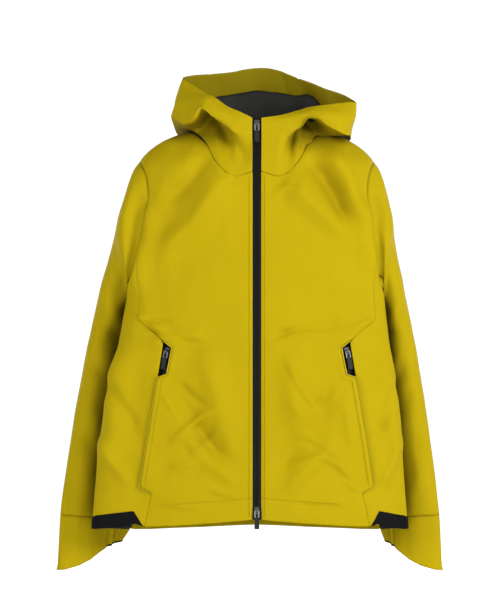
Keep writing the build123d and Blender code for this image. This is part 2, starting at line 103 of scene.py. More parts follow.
def curve_through(points, count, closed=False):
    """Catmull-Rom points through a list of points."""
    pts = np.asarray(points, float)
    n = len(pts)
    spans = n if closed else n - 1
    out = []
    for i in range(count):
        s = i * spans / (count if closed else count - 1)
        k = min(int(s), spans - 1)
        t = s - k
        if closed:
            p = [pts[(k + j) % n] for j in (-1, 0, 1, 2)]
        else:
            p = [pts[min(max(k + j, 0), n - 1)] for j in (-1, 0, 1, 2)]
        out.append(0.5 * (2 * p[1] + (p[2] - p[0]) * t + (2 * p[0] - 5 * p[1] + 4 * p[2] - p[3]) * t * t
                          + (3 * p[1] - p[0] - 3 * p[2] + p[3]) * t ** 3))
    return np.array(out)


def resample(points, counts):
    """Smooth curve through points along axis 0, with this many steps between each pair."""
    points = np.array(points)
    gaps = np.linalg.norm(np.diff(points, axis=0), axis=-1)
    while gaps.ndim > 1:
        gaps = gaps.mean(axis=-1)
    at = np.concatenate([[0], np.cumsum(np.maximum(gaps, 1e-5))])
    slopes = np.gradient(points, at, axis=0)
    out = []
    for k, count in enumerate(counts):
        span = at[k + 1] - at[k]
        for t in np.arange(count) / count:
            out.append(hermite(points[k], points[k + 1], slopes[k], slopes[k + 1], span, t))
    out.append(points[-1])
    return np.array(out)


def new_mesh(name, verts, faces):
    mesh = bpy.data.meshes.new(name)
    mesh.from_pydata([tuple(v) for v in verts], [], [tuple(f) for f in faces])
    mesh.validate()
    obj = bpy.data.objects.new(name, mesh)
    bpy.context.scene.collection.objects.link(obj)
    for poly in mesh.polygons:
        poly.use_smooth = True
    return obj


def grid(name, points, closed=False):
    """A quad mesh from rows of points."""
    pts = np.asarray(points, float)
    rows, cols = pts.shape[:2]
    faces = []
    for r in range(rows - 1):
        for c in range(cols if closed else cols - 1):
            d = (c + 1) % cols
            faces.append((r * cols + c, r * cols + d, (r + 1) * cols + d, (r + 1) * cols + c))
    return new_mesh(name, pts.reshape(-1, 3), faces)


def thicken(obj, thickness):
    """Thickness inward from the outer face; the inner face takes the second material."""
    mod = obj.modifiers.new("cloth", "SOLIDIFY")
    mod.thickness = thickness
    mod.offset = -1.0
    mod.material_offset = 1
    mod.use_even_offset = False


def subdivide(obj, levels):
    mod = obj.modifiers.new("smooth", "SUBSURF")
    mod.levels = levels
    mod.render_levels = levels


# ---------------- body surface
def body_at(z):
    return [np.interp(z, BODY_FORM[:, 0], BODY_FORM[:, k]) for k in range(1, 5)]


SOFT_STEPS = 141          # heights at which the form is smoothed
SOFT_PASSES = 6
SOFT_Z = np.linspace(BODY_FORM[0, 0], BODY_FORM[-1, 0], SOFT_STEPS)
SOFT_FORM = np.array([body_at(z) for z in SOFT_Z])
for _ in range(SOFT_PASSES):
    SOFT_FORM[1:-1] = (SOFT_FORM[:-2] + 2 * SOFT_FORM[1:-1] + SOFT_FORM[2:]) / 4


def form_at(z):
    """Half width, depth to the front, depth to the back and y of the side edge at a height."""
    return [np.interp(z, SOFT_Z, SOFT_FORM[:, k]) for k in range(4)]


def across_of(x, z, side):
    """Distance along the cloth from the centre line, for a point at x."""
    half = form_at(z)[0]
    share = np.clip(np.abs(x) / half, 0, 1)
    return np.sign(x) * np.arcsin(share ** (POWER[side] / 2)) * 2 / math.pi * ACROSS


def body_point(s, z, side):
    """The body's surface from a distance along the cloth and a height."""
    half, front, back, side_y = form_at(z)
    turn = np.clip(np.abs(s) / ACROSS, 0, 1) * math.pi / 2
    depth = front if side < 0 else back
    x = np.sign(s) * half * np.sin(turn) ** (2 / POWER[side])
    y = side_y + side * depth * np.cos(turn) ** (2 / POWER[side])
    return np.stack([x, y, z + 0 * x], axis=-1)


def body_normal(s, z, side):
    """The surface's outward direction, before the folds."""
    step = 0.002
    ds = body_point(s + step, z, side) - body_point(s - step, z, side)
    dz = body_point(s, z + step, side) - body_point(s, z - step, side)
    return unit(np.cross(ds, dz) * (1 if side < 0 else -1))


ARM_LINE = curve_through(ARMHOLE, 80)[::-1]


def arm_x(z):
    """How far out the armhole seam is at a height."""
    return np.interp(z, ARM_LINE[:, 1], ARM_LINE[:, 0])


# How far the jacket drifts sideways, by height, and where across the jacket the drift begins and is full
LEAN_EDGE = (0.205, 0.275)
LEAN = np.array([(-0.12, 0.0125), (0.05, 0.012), (0.3, 0.0095), (0.45, 0.008), (0.555, 0.005), (0.66, 0.0)])


def lean(pos):
    """The jacket hangs a little askew: everything out past the pockets drifts to its right."""
    out = np.array(pos, float)
    drift = np.interp(out[:, 2], LEAN[:, 0], LEAN[:, 1])
    out[:, 0] -= drift * smooth((np.abs(out[:, 0]) - LEAN_EDGE[0]) / (LEAN_EDGE[1] - LEAN_EDGE[0]))
    return out


# ---------------- folds
FOLD_DEPTH = 2.6          # scales the heights of the body's folds
# Each fold: start x, start z, end x, end z, width, height (a valley if negative)
FRONT_FOLDS = [
    (-0.05, 0.605, -0.17, 0.46, 0.022, 0.006), (-0.08, 0.64, -0.16, 0.56, 0.016, -0.004),
    (0.06, 0.605, 0.15, 0.5, 0.022, 0.006), (0.09, 0.655, 0.165, 0.52, 0.02, -0.007),
    (0.13, 0.65, 0.185, 0.53, 0.018, 0.006), (-0.185, 0.56, -0.215, 0.4, 0.018, 0.005),
    (0.185, 0.56, 0.205, 0.42, 0.018, 0.005), (-0.2, 0.33, -0.08, 0.305, 0.01, -0.0022),
    (-0.19, 0.316, -0.1, 0.325, 0.009, 0.0022), (0.03, 0.33, 0.16, 0.345, 0.01, -0.002),
    (0.02, 0.345, 0.12, 0.325, 0.009, 0.002), (-0.09, 0.3, -0.03, 0.11, 0.024, 0.004),
    (-0.15, 0.23, -0.05, 0.09, 0.02, -0.004), (-0.13, 0.15, -0.03, 0.06, 0.014, 0.003),
    (0.05, 0.28, 0.09, 0.12, 0.024, 0.004), (0.13, 0.21, 0.03, 0.075, 0.018, -0.0035),
    (0.14, 0.14, 0.05, 0.05, 0.014, 0.003), (-0.235, 0.3, -0.255, 0.08, 0.02, 0.004),
    (0.235, 0.3, 0.25, 0.08, 0.02, 0.004), (-0.212, 0.362, -0.165, 0.332, 0.006, 0.0016),
    (-0.205, 0.352, -0.15, 0.348, 0.0055, -0.0013), (-0.19, 0.345, -0.135, 0.312, 0.006, 0.0013),
    (0.21, 0.352, 0.16, 0.336, 0.006, 0.0015), (0.085, 0.338, 0.012, 0.318, 0.0055, -0.0016),
    (0.07, 0.328, 0.012, 0.3, 0.006, 0.0014), (-0.14, 0.24, -0.09, 0.2, 0.007, -0.0016),
    (-0.12, 0.165, -0.06, 0.205, 0.007, 0.0016), (-0.13, 0.115, -0.075, 0.16, 0.0065, -0.0015),
    (-0.15, 0.09, -0.1, 0.105, 0.006, 0.0014), (-0.145, 0.07, -0.095, 0.085, 0.006, -0.0012),
    (0.135, 0.235, 0.095, 0.19, 0.007, -0.0016), (0.115, 0.16, 0.06, 0.2, 0.007, 0.0015),
    (0.14, 0.105, 0.08, 0.14, 0.0065, -0.0014), (0.06, 0.595, 0.02, 0.56, 0.007, 0.0018),
    (-0.06, 0.6, -0.025, 0.57, 0.007, 0.0018), (-0.03, 0.605, -0.06, 0.585, 0.006, -0.0015),
    (0.03, 0.6, 0.075, 0.588, 0.006, -0.0015), (-0.25, 0.24, -0.215, 0.15, 0.01, -0.003),
    (-0.262, 0.14, -0.225, 0.06, 0.01, 0.0026), (0.25, 0.24, 0.215, 0.15, 0.01, -0.003),
    (0.262, 0.14, 0.225, 0.06, 0.01, 0.0026), (0.048, 0.29, 0.11, 0.18, 0.007, 0.0026),
    (0.112, 0.108, 0.16, 0.066, 0.0075, -0.0024), (0.056, 0.098, 0.116, 0.114, 0.0065, 0.0018),
    (0.136, 0.077, 0.182, 0.051, 0.0045, 0.0014), (0.07, 0.028, 0.155, 0.019, 0.005, -0.0014),
    (0.15, 0.21, 0.168, 0.13, 0.007, 0.0014), (-0.15, 0.135, -0.088, 0.193, 0.0075, 0.0022),
    (-0.106, 0.168, -0.068, 0.112, 0.008, -0.001), (-0.084, 0.056, -0.02, 0.036, 0.0055, 0.0015),
    (-0.17, 0.03, -0.1, 0.02, 0.0055, 0.0014), (-0.166, 0.215, -0.14, 0.19, 0.006, 0.0014),
]
BACK_FOLDS = [
    (-0.1, 0.62, -0.17, 0.38, 0.026, 0.006), (0.1, 0.62, 0.17, 0.38, 0.026, 0.006),
    (0.0, 0.6, 0.02, 0.25, 0.035, -0.006), (-0.14, 0.34, -0.06, 0.08, 0.026, 0.006),
    (0.14, 0.34, 0.07, 0.08, 0.026, 0.006), (-0.21, 0.52, -0.1, 0.44, 0.016, 0.004),
    (0.21, 0.5, 0.11, 0.42, 0.016, 0.004), (0.02, 0.26, -0.01, 0.02, 0.03, -0.005),
]


def fold(u, v, du, dv, width, height, sway, beats, phase, taper, head):
    """One soft ridge from (0, 0) to (du, dv), swaying sideways and fading at both ends, at points (u, v)."""
    length = math.hypot(du, dv)
    along = (u * du + v * dv) / length
    off = (u * dv - v * du) / length + sway * width * np.sin(along / length * beats + phase)
    fade = smooth(along / (taper * length) + head) * smooth((length - along) / (taper * length) + head)
    return height * fade * np.exp(-(off / width) ** 2)


def fold_sum(folds, x, z):
    total = np.zeros_like(x)
    for x1, z1, x2, z2, width, height in folds:
        total += fold(x - x1, z - z1, x2 - x1, z2 - z1, width, height, 0.18, 7, x1 * 40, 0.35, 0.35)
    return total


NOISE_ROUGHNESS = 0.9
NOISE_LACUNARITY = 2.1
NOISE_OCTAVES = 3
NOISE_STRETCH = 0.6       # wrinkles are longer up and down than across


def wrinkle(points, scale, seed):
    """Smooth noise in about -1..1 at each point."""
    out = np.empty(len(points))
    for i, p in enumerate(points):
        q = Vector((p[0] * scale + seed, p[1] * scale - seed, p[2] * scale * NOISE_STRETCH + 2 * seed))
        out[i] = noise.fractal(q, NOISE_ROUGHNESS, NOISE_LACUNARITY, NOISE_OCTAVES)
    return out


def body_relief(x, z, side):
    """Height of the folds over the body's surface: none at the side seams and the zip, low at the hem."""
    folds = FRONT_FOLDS if side < 0 else BACK_FOLDS
    relief = FOLD_DEPTH * fold_sum(folds, x, z)
    flat = np.stack([x, 0.3 * side + 0 * x, z], axis=-1)
    calm = smooth((np.abs(x) - 0.012) / 0.05) if side < 0 else 1.0
    relief = relief + calm * (0.0042 * wrinkle(flat, 7.0, 3.1) + 0.0016 * wrinkle(flat, 24.0, 8.3))
    hem = smooth(z / 0.03)
    seam = smooth((1 - np.abs(across_of(x, z, side)) / ACROSS) / 0.1)
    return relief * (0.4 + 0.6 * hem) * seam * (calm if side < 0 else 1.0)


def on_body(x, z, side, lift=0.0):
    """Points of the finished, folded surface at (x, z), on the front (-1) or back (1)."""
    x, z = np.atleast_1d(x).astype(float), np.atleast_1d(z).astype(float)
    s = across_of(x, z, side)
    base = body_point(s, z, side)
    relief = body_relief(base[:, 0], z, side) + lift
    return base + body_normal(s, z, side) * relief[:, None]


# ---------------- panels cut from the body surface
def dense(outline, spacing):
    """Points along a closed (x, z) outline, no further apart than the spacing."""
    out = []
    for (x1, z1), (x2, z2) in zip(outline, outline[1:] + outline[:1]):
        steps = max(1, int(math.hypot(x2 - x1, z2 - z1) / spacing))
        for k in range(steps):
            out.append((lerp(x1, x2, k / steps), lerp(z1, z2, k / steps)))
    return out


def inside(px, pz, ring):
    """Which points lie inside a closed ring."""
    hit = np.zeros(len(px), bool)
    for (x1, z1), (x2, z2) in zip(ring, np.roll(ring, -1, axis=0)):
        cross = (z1 > pz) != (z2 > pz)
        with np.errstate(divide="ignore", invalid="ignore"):
            xi = x1 + (pz - z1) * (x2 - x1) / (z2 - z1)
        hit ^= cross & (px < xi)
    return hit


def distance_to(px, pz, ring, closed=True):
    """Distance of each point from a ring or a line."""
    best = np.full(len(px), 1e9)
    ends = np.roll(ring, -1, axis=0) if closed else ring[1:]
    for (x1, z1), (x2, z2) in zip(ring, ends):
        dx, dz = x2 - x1, z2 - z1
        t = np.clip(((px - x1) * dx + (pz - z1) * dz) / max(dx * dx + dz * dz, 1e-12), 0, 1)
        best = np.minimum(best, np.hypot(px - x1 - t * dx, pz - z1 - t * dz))
    return best


def fill(ring, px, pz, clear):
    """Triangles over a closed ring, with those of the loose points that lie inside and clear of its edge."""
    keep = inside(px, pz, ring)
    px, pz = px[keep], pz[keep]
    keep = distance_to(px, pz, ring) > clear
    pts = np.concatenate([ring, np.stack([px[keep], pz[keep]], axis=-1)])
    n = len(ring)
    edges = [(i, (i + 1) % n) for i in range(n)]
    verts, _, faces, *_ = geometry.delaunay_2d_cdt([Vector(p) for p in pts], edges, [], 1, 1e-6)
    return np.array([(v.x, v.y) for v in verts]), faces


ROW_SHARE = 0.87          # rows of points this much of the spacing apart, for even triangles


def panel(name, outline, side, lift=0.0, spacing=0.006, roll=SEAM_ROLL, mirror=1, lift_field=None):
    """A panel of the body surface inside an (x, z) outline. mirror -1 puts it on the wearer's right."""
    ring_xz = np.array(dense(outline, spacing))
    ring = np.stack([across_of(ring_xz[:, 0], ring_xz[:, 1], side), ring_xz[:, 1]], axis=-1)
    share = np.abs(ring_xz[:, 0]) / form_at(ring_xz[:, 1])[0]
    ring[:, 0] = np.where(share > AT_SIDE, np.sign(ring[:, 0]) * ACROSS, ring[:, 0])
    low, high = ring.min(0), ring.max(0)
    rows = int((high[1] - low[1]) / (spacing * ROW_SHARE)) + 2
    cols = int((high[0] - low[0]) / spacing) + 2
    gx, gz = np.meshgrid(low[0] + spacing * np.arange(cols), low[1] + spacing * ROW_SHARE * np.arange(rows))
    gx = gx + 0.5 * spacing * (np.arange(rows)[:, None] % 2)
    flat, faces = fill(ring, gx.ravel(), gz.ravel(), 0.55 * spacing)
    s, z = flat[:, 0], flat[:, 1]
    base = body_point(s, z, side)
    normal = body_normal(s, z, side)
    x = base[:, 0] * mirror
    edge = distance_to(s, z, ring)
    relief = body_relief(x, z, side) + lift - roll * np.exp(-(edge / SEAM_WIDTH) ** 2)
    if lift_field is not None:
        relief = relief + lift_field(base[:, 0], z)
    pos = base + normal * relief[:, None]
    pos[:, 0] *= mirror
    pos = lean(pos)
    if (side < 0) == (mirror < 0):
        faces = [face[::-1] for face in faces]
    return new_mesh(name, pos, faces)


# ---------------- materials
def material(name):
    mat = bpy.data.materials.new(name)
    mat.use_nodes = True
    tree = mat.node_tree
    tree.nodes.clear()
    out = add_node(tree, "OutputMaterial")
    shader = add_node(tree, "BsdfPrincipled")
    tree.links.new(shader.outputs[0], out.inputs[0])
    return mat, tree, shader


def feed(tree, source, socket):
    """Link an output to an input, or set the input to a plain value."""
    if isinstance(source, bpy.types.NodeSocket):
        tree.links.new(source, socket)
    else:
        socket.default_value = source


def feed_all(tree, node, sources):
    for key, source in sources.items():
        feed(tree, source, node.inputs[key])


def add_node(tree, kind, **values):
    """A shader node of a kind, with its settings and inputs given by name."""
    node = tree.nodes.new("ShaderNode" + kind)
    for key, value in values.items():
        if key in node.inputs:
            feed(tree, value, node.inputs[key])
        else:
            setattr(node, key, value)
    return node


def compute(tree, operation, *sources):
    node = add_node(tree, "Math", operation=operation)
    for source, socket in zip(sources, node.inputs):
        feed(tree, source, socket)
    return node.outputs[0]


def map_range(tree, value, to_low, to_high, from_low=0.0, from_high=1.0):
    limits = {"From Min": from_low, "From Max": from_high, "To Min": to_low, "To Max": to_high}
    return add_node(tree, "MapRange", Value=value, **limits).outputs[0]


def mix_colors(tree, factor, first, second, blend="MIX"):
    mix = add_node(tree, "Mix", data_type="RGBA", blend_type=blend)
    for source, place in ((factor, 0), (first, 6), (second, 7)):
        feed(tree, source, mix.inputs[place])
    return mix.outputs[2]


def coords(tree, scale=(1, 1, 1)):
    place = add_node(tree, "TexCoord")
    mapping = add_node(tree, "Mapping", Vector=place.outputs["Object"], Scale=scale)
    return mapping.outputs[0]


def weave_height(tree, threads):
    """Height of a plain weave: two crossed sets of threads, this many to the metre."""
    place = coords(tree, (1, 0.4, 1))
    sets = [
        add_node(tree, "TexWave", wave_type="BANDS", bands_direction=direction, Scale=threads / 20,
                 Distortion=0.6, Vector=place).outputs["Fac"]
        for direction in ("Z", "DIAGONAL")
    ]
    return compute(tree, "ADD", *sets)


AO_REACH = 0.06           # how near other cloth must lie for the painted shade to darken a surface


def paint_shade(tree, color, least):
    """Painted shade: the colour darkened where other cloth lies close in front of it, down to a least share.
    """
    near = add_node(tree, "AmbientOcclusion", samples=8, Distance=AO_REACH)
    level = map_range(tree, near.outputs["AO"], least, 1.0, 0.15, 0.85)
    return mix_colors(tree, 1.0, color, level, "MULTIPLY")


def fabric(name, dark, light, rough=0.8, threads=4200, strength=0.1, least=0.3):
    """Woven cloth: slow colour drift, fine speckle, painted shade where other cloth lies close, weave and
    nap in the bump.
    """
    mat, tree, shader = material(name)
    place = coords(tree)
    drift = add_node(tree, "TexNoise", Vector=place, Scale=9.0, Detail=4.0, Roughness=0.6)
    speck = add_node(tree, "TexNoise", Vector=place, Scale=900.0, Detail=2.0)
    nap = add_node(tree, "TexNoise", Vector=place, Scale=260.0, Detail=3.0)
    drift_part = compute(tree, "MULTIPLY", drift.outputs["Fac"], 0.65)
    pattern = compute(tree, "MULTIPLY_ADD", speck.outputs["Fac"], 0.35, drift_part)
    color = mix_colors(tree, pattern, (*dark, 1), (*light, 1))
    weave = add_node(tree, "Bump", Strength=strength, Distance=0.0004,
                     Height=weave_height(tree, threads))
    soft = add_node(tree, "Bump", Strength=0.12, Distance=0.0012, Height=nap.outputs["Fac"],
                    Normal=weave.outputs[0])
    # The base colour carries painted shade where other cloth lies close
    feed_all(tree, shader, {
        "Base Color": paint_shade(tree, color, least), "Normal": soft.outputs[0], "Roughness": rough,
        "Sheen Weight": 0.02, "Sheen Roughness": 0.6, "Sheen Tint": (*light, 1), "Specular IOR Level": 0.1,
    })
    return mat


def moulded(name, color, rough, metal=0.0, grain=400.0, strength=0.15, shine=0.3):
    """Plastic, rubber or metal with a fine surface grain and uneven gloss."""
    mat, tree, shader = material(name)
    grains = add_node(tree, "TexNoise", Vector=coords(tree), Scale=grain, Detail=3.0).outputs["Fac"]
    lighter = tuple(min(1, c * 1.5 + 0.004) for c in color)
    bump = add_node(tree, "Bump", Strength=strength, Distance=0.0003, Height=grains)
    feed_all(tree, shader, {
        "Base Color": mix_colors(tree, grains, (*color, 1), (*lighter, 1)), "Normal": bump.outputs[0],
        "Roughness": map_range(tree, grains, max(0.05, rough - 0.12), min(1.0, rough + 0.12)),
        "Metallic": metal, "Specular IOR Level": shine,
    })
    return mat


# least=0.15 lets the painted shade go deepest on the shell
SHELL = fabric("shell_cloth", (0.43, 0.315, 0.0005), (0.54, 0.4, 0.0015), least=0.15)
# The shell's own yellow cloth made darker: painted shade for the insides of the hood, sleeves and wind flap
SHADED_FACING = fabric("shaded_facing_cloth", (0.27, 0.205, 0.002), (0.35, 0.265, 0.004))
LINING = fabric("lining_cloth", (0.016, 0.016, 0.016), (0.05, 0.05, 0.048), threads=1400, strength=0.2)
BAND = fabric("stretch_cloth", (0.002, 0.002, 0.002), (0.006, 0.006, 0.007), 0.7, 900, 0.5)
ELASTIC = fabric("elastic_cloth", (0.004, 0.004, 0.004), (0.01, 0.01, 0.01), threads=700, strength=0.4)
MESH = fabric("pocket_cloth", (0.005, 0.005, 0.005), (0.012, 0.012, 0.012), 0.9, 900, 0.4)
# Shell cloth made paler for the pocket's folded edges: painted highlight where the folds catch the light
EDGE_HIGHLIGHT = fabric("folded_edge_highlight", (0.56, 0.43, 0.012), (0.66, 0.51, 0.02))
THREAD_COLOR = fabric("thread", (0.36, 0.27, 0.002), (0.46, 0.34, 0.004), threads=5000)
TAPE = moulded("coated_tape", (0.002, 0.002, 0.0025), 0.36, grain=700.0, strength=0.2, shine=0.22)
COIL = moulded("coil_plastic", (0.006, 0.006, 0.006), 0.4)
GUNMETAL = moulded("slider_gunmetal", (0.11, 0.11, 0.115), 0.36, metal=0.85)
SATIN = moulded("ring_satin", (0.34, 0.34, 0.35), 0.36, metal=0.9, grain=900.0)
DULL = moulded("ring_dull", (0.17, 0.17, 0.175), 0.38, metal=0.85, grain=900.0)
RUBBER = moulded("tab_rubber", (0.01, 0.0105, 0.012), 0.55, grain=1200.0)


def dress(obj, *mats):
    obj.data.materials.clear()
    for mat in mats:
        obj.data.materials.append(mat)


def finish_cloth(obj, slot, *nodes, outer=SHELL, inner=LINING, thickness=CLOTH, levels=1):
    """Materials, smoothing and thickness of a cloth sheet; hides the CAD nodes that it stands for."""
    dress(obj, outer, inner)
    if levels:
        subdivide(obj, levels)
    thicken(obj, thickness)
    if nodes:
        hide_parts(*nodes)


def body_cloth(obj, slot, *nodes, **looks):
    """Cloth that stays with the jacket's body."""
    finish_cloth(obj, slot, *nodes, **looks)
    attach(obj, ROOT)


# ---------------- body panels
NECK_LINE = [(0.0075, 0.613), (0.035, 0.604), (0.055, 0.611), (0.072, 0.63), (0.088, 0.662), (0.096, 0.69)]
FLAP = [(0.186, 0.046), (0.206, 0.058), (0.175, 0.25)]
WINDOW = [(0.158, 0.256), (0.149, 0.303), (0.164, 0.315)]
CHEST = [(0.21, 0.352), (0.2035, 0.474)]
HEM_FRONT = [(0.0075, 0.001), (0.05, -0.003), (0.1, -0.007), (0.15, -0.0105), (0.1985, -0.0125)]
HEM_SIDE = [(0.278, -0.02), (0.245, -0.0145), (0.212, -0.0075)]
HEM_BACK = [(0.0, -0.0225), (0.1, -0.026), (0.19, -0.0275), (0.2265, -0.0265)]
BAND_TOP = [(0.2165, 0.015), (0.249, 0.0095)]
BAND_SIDE = 0.0035        # height of the band's top edge at the side seam


def side_part(start, end, steps=24):
    """The side or shoulder seam from one height to another."""
    return [(float(form_at(z)[0]), float(z)) for z in np.linspace(start, end, steps)]


def armhole_part(start, end):
    return [(min(float(arm_x(z)), float(form_at(z)[0])), float(z)) for z in np.linspace(start, end, 10)]


SHOULDER = side_part(0.64, 0.69, 22)
WELT = 0.0014             # how proud the taped border of the pocket stands


def flap_lift(x, z):
    """The pocket flap's free edge stands a little proud of the panel beneath it."""
    near = distance_to(x, z, np.array(FLAP), closed=False)
    window = distance_to(x, z, np.array(FLAP[-1:] + WINDOW), closed=False)
    welt = smooth((0.0105 - np.minimum(near, window)) / 0.003)
    above = smooth((z - FLAP[0][1] + 0.002) / 0.014)
    return above * (0.002 * np.exp(-(near / 0.018) ** 2) + WELT * welt)


front_outline = (HEM_FRONT + FLAP + WINDOW + CHEST + armhole_part(0.484, 0.634)
                 + SHOULDER + NECK_LINE[::-1][1:])
under_flap = [(x - 0.012, z) for x, z in FLAP[1:]]
side_outline = ([(0.1986, -0.0125), (0.1861, 0.0459), (0.19, 0.058)] + under_flap + [FLAP[-1], WINDOW[-1]]
                + CHEST + armhole_part(0.464, 0.405) + side_part(0.395, -0.02) + HEM_SIDE[1:])
for name, mirror in SIDES:
    piece = panel(f"front_{name}_cloth", front_outline, -1, spacing=0.0042, mirror=mirror,
                  lift_field=flap_lift)
    body_cloth(piece, "shell_fabric", f"front_panel_{name}")
    piece = panel(f"side_{name}_cloth", side_outline, -1, mirror=mirror)
    body_cloth(piece, "shell_fabric", f"side_panel_{name}")
flank_outline = [HEM_BACK[-1], (0.1965, 0.43)] + armhole_part(0.43, 0.405) + side_part(0.395, -0.02)
yoke_line = [(x, 0.52 - 0.02 * (x / 0.2) ** 2) for x in np.linspace(0.199, -0.199, 13)]
back_half = HEM_BACK + [(0.1965, 0.43)] + armhole_part(0.44, 0.494)
back_outline = back_half + yoke_line + [(-x, z) for x, z in reversed(back_half)][:-1]
yoke_half = armhole_part(0.506, 0.634) + SHOULDER + [(0.096, 0.69), (0.07, 0.68), (0.035, 0.674)]
yoke_outline = yoke_half + [(0.0, 0.672)] + [(-x, z) for x, z in reversed(yoke_half)] + yoke_line[::-1]
for name, mirror in SIDES:
    piece = panel(f"flank_{name}_cloth", flank_outline, 1, mirror=mirror)
    body_cloth(piece, "shell_fabric", f"flank_panel_{name}")
body_cloth(panel("back_cloth", back_outline, 1, spacing=0.008), "shell_fabric", "back_panel")
body_cloth(panel("yoke_cloth", yoke_outline, 1, spacing=0.008), "shell_fabric", "back_yoke")


HEM_TURNED = 0.04         # the shell turned up inside the hem
for side, hem, name in ((1, HEM_BACK[:-1] + [(0.225, -0.0265)], "back"), (-1, HEM_FRONT, "front")):
    for hand, mirror in SIDES:
        turned = hem + [(x, z + HEM_TURNED) for x, z in hem[::-1]]
        strip = panel(f"hem_turned_{name}_{hand}", turned, side, lift=-0.0022, roll=0.0, mirror=mirror)
        body_cloth(strip, "facing_fabric", outer=SHELL, inner=SHELL)


# ---------------- sleeves
# Each ring: outer point, inner point, half depth front to back
SLEEVE = [
    ((0.219, -0.008, 0.62), (0.23, -0.012, 0.4), 0.042),
    ((0.238, -0.002, 0.56), (0.227, 0.006, 0.386), 0.044),
    ((0.257, 0.018, 0.478), (0.221, 0.034, 0.368), 0.045),
    ((0.279, 0.038, 0.385), (0.219, 0.062, 0.345), 0.05),
    ((0.299, 0.05, 0.29), (0.222, 0.08, 0.268), 0.052),
    ((0.318, 0.05, 0.18), (0.23, 0.088, 0.168), 0.048),
    ((0.332, 0.046, 0.09), (0.23, 0.092, 0.082), 0.042),
    ((0.343, 0.042, 0.0), (0.222, 0.096, -0.006), 0.034),
    ((0.348, 0.042, -0.104), (0.232, 0.092, -0.104), 0.03),
]
WRIST = 7                 # the ring of the cuff seam
CUFF_EDGE = [(0.2, -0.052), (0.245, -0.055), (0.262, -0.0595), (0.275, -0.069), (0.29, -0.082),
             (0.308, -0.092), (0.332, -0.099), (0.352, -0.1005)]
TURNS = 56                # points round a sleeve
ROW_SPACING = 0.009
CUFF_FINER = 4            # times as many round the cuff
CUFF_ROWS = 18
ELASTIC_REACH = 0.262     # the cuff is gathered by elastic nearer the body than this x
CUFF_PLEAT = 0.0022
UNDER = (0.78, 1.45)      # where the under panel begins and ends, in half turns
HALF_TURN = 0.16          # metres of cloth in half a turn, for the folds
SLEEVE_RADIUS = 0.06      # for the width of the seams along the sleeve
ARMHOLE_SPAN = (0.402, 0.636)
TUCK = 0.013              # how far the sleeve tucks in behind the torso's edge under the arm
# Each sleeve fold: turn and height at both ends (turn 0 outside, 0.5 front, 1 inside), width, height
SLEEVE_FOLDS = [
    (0.1, 0.56, 0.55, 0.44, 0.02, 0.006),
    (0.2, 0.5, 0.65, 0.4, 0.016, -0.006),
    (0.05, 0.44, 0.6, 0.34, 0.02, 0.006),
    (0.15, 0.36, 0.85, 0.31, 0.016, -0.006),
    (0.05, 0.31, 0.7, 0.27, 0.018, 0.005),
    (0.3, 0.27, 0.9, 0.22, 0.014, -0.005),
    (0.1, 0.22, 0.6, 0.15, 0.022, 0.005),
    (0.25, 0.15, 0.75, 0.1, 0.018, -0.004),
    (0.35, 0.11, 0.45, -0.02, 0.02, 0.005),
    (0.62, 0.1, 0.66, -0.02, 0.016, -0.004),
    (1.2, 0.5, 1.6, 0.36, 0.022, 0.006),
    (1.15, 0.33, 1.7, 0.26, 0.022, -0.006),
    (1.25, 0.2, 1.6, 0.06, 0.022, 0.005),
]


def armhole_ring(turns, mirror):
    """The sleeve's first ring lies on the body's surface along the armhole."""
    z = lerp(*ARMHOLE_SPAN, (1 + np.cos(turns)) / 2)
    x = np.array([min(float(arm_x(h)), float(form_at(h)[0]) * 0.9995) for h in z])
    x = x * mirror
    front = on_body(x, z, -1, -SEAM_ROLL)
    back = on_body(x, z, 1, -SEAM_ROLL)
    return np.where((np.sin(turns) > 0)[:, None], front, back) * np.array([mirror, 1, 1])


def sleeve_ring(section, turns):
    outer, inner, depth = (np.array(part) for part in section)
    middle, half = (outer + inner) / 2, (outer - inner) / 2
    ring = middle + np.cos(turns)[:, None] * half
    ring[:, 1] -= np.sin(turns) * depth
    return ring


def rows_through(rings, spacing):
    """Rows of points along smooth curves through the rings; returns rows and the ring number of each row."""
    rings = np.array(rings)
    gaps = np.linalg.norm(np.diff(rings, axis=0), axis=2).mean(axis=1)
    counts = [max(2, int(gap / spacing)) for gap in gaps]
    where = [k + t for k, count in enumerate(counts) for t in np.arange(count) / count] + [len(gaps)]
    return resample(rings, counts), np.array(where)


def grid_normals(rows):
    """Outward normals of a closed grid of rows."""
    along = np.gradient(rows, axis=0)
    around = (np.roll(rows, -1, axis=1) - np.roll(rows, 1, axis=1)) / 2
    n = unit(np.cross(along, around))
    centre = rows.mean(axis=1, keepdims=True)
    return n if np.sum(n * (rows - centre)) >= 0 else -n


def sleeve_relief(turn, rows, where, seed):
    """Height of the folds and wrinkles, with the tuck under the torso's edge."""
    z = rows[..., 2]
    relief = np.zeros_like(z)
    for t1, z1, t2, z2, width, height in SLEEVE_FOLDS:
        relief += fold((turn - t1) * HALF_TURN, z - z1, (t2 - t1) * HALF_TURN, z2 - z1, width, height,
                       0.2, 6, z1 * 30 + seed, 0.4, 0.3)
    flat = np.stack([rows[..., 0] * 1.4, rows[..., 1] * 1.4, z], axis=-1).reshape(-1, 3)
    crumple = 0.004 * wrinkle(flat, 9.0, 1.7 + seed) + 0.0012 * wrinkle(flat, 30.0, 5.2 + seed)
    relief += crumple.reshape(z.shape)
    start = smooth(where[:, None] / 0.8) * (0.3 + 0.7 * np.abs(np.sin(turn * math.pi)))
    low = smooth((turn - 0.22) / 0.25) * smooth((0.9 - turn) / 0.12)
    tuck = np.exp(-((where[:, None] - 0.55) / 0.6) ** 2) * low
    return relief * start - TUCK * tuck * smooth(where[:, None] / 0.45)


def seam_dip(turn):
    off = [(turn - seam) * math.pi * SLEEVE_RADIUS for seam in UNDER]
    return SEAM_ROLL * sum(np.exp(-(distance / SEAM_WIDTH) ** 2) for distance in off)


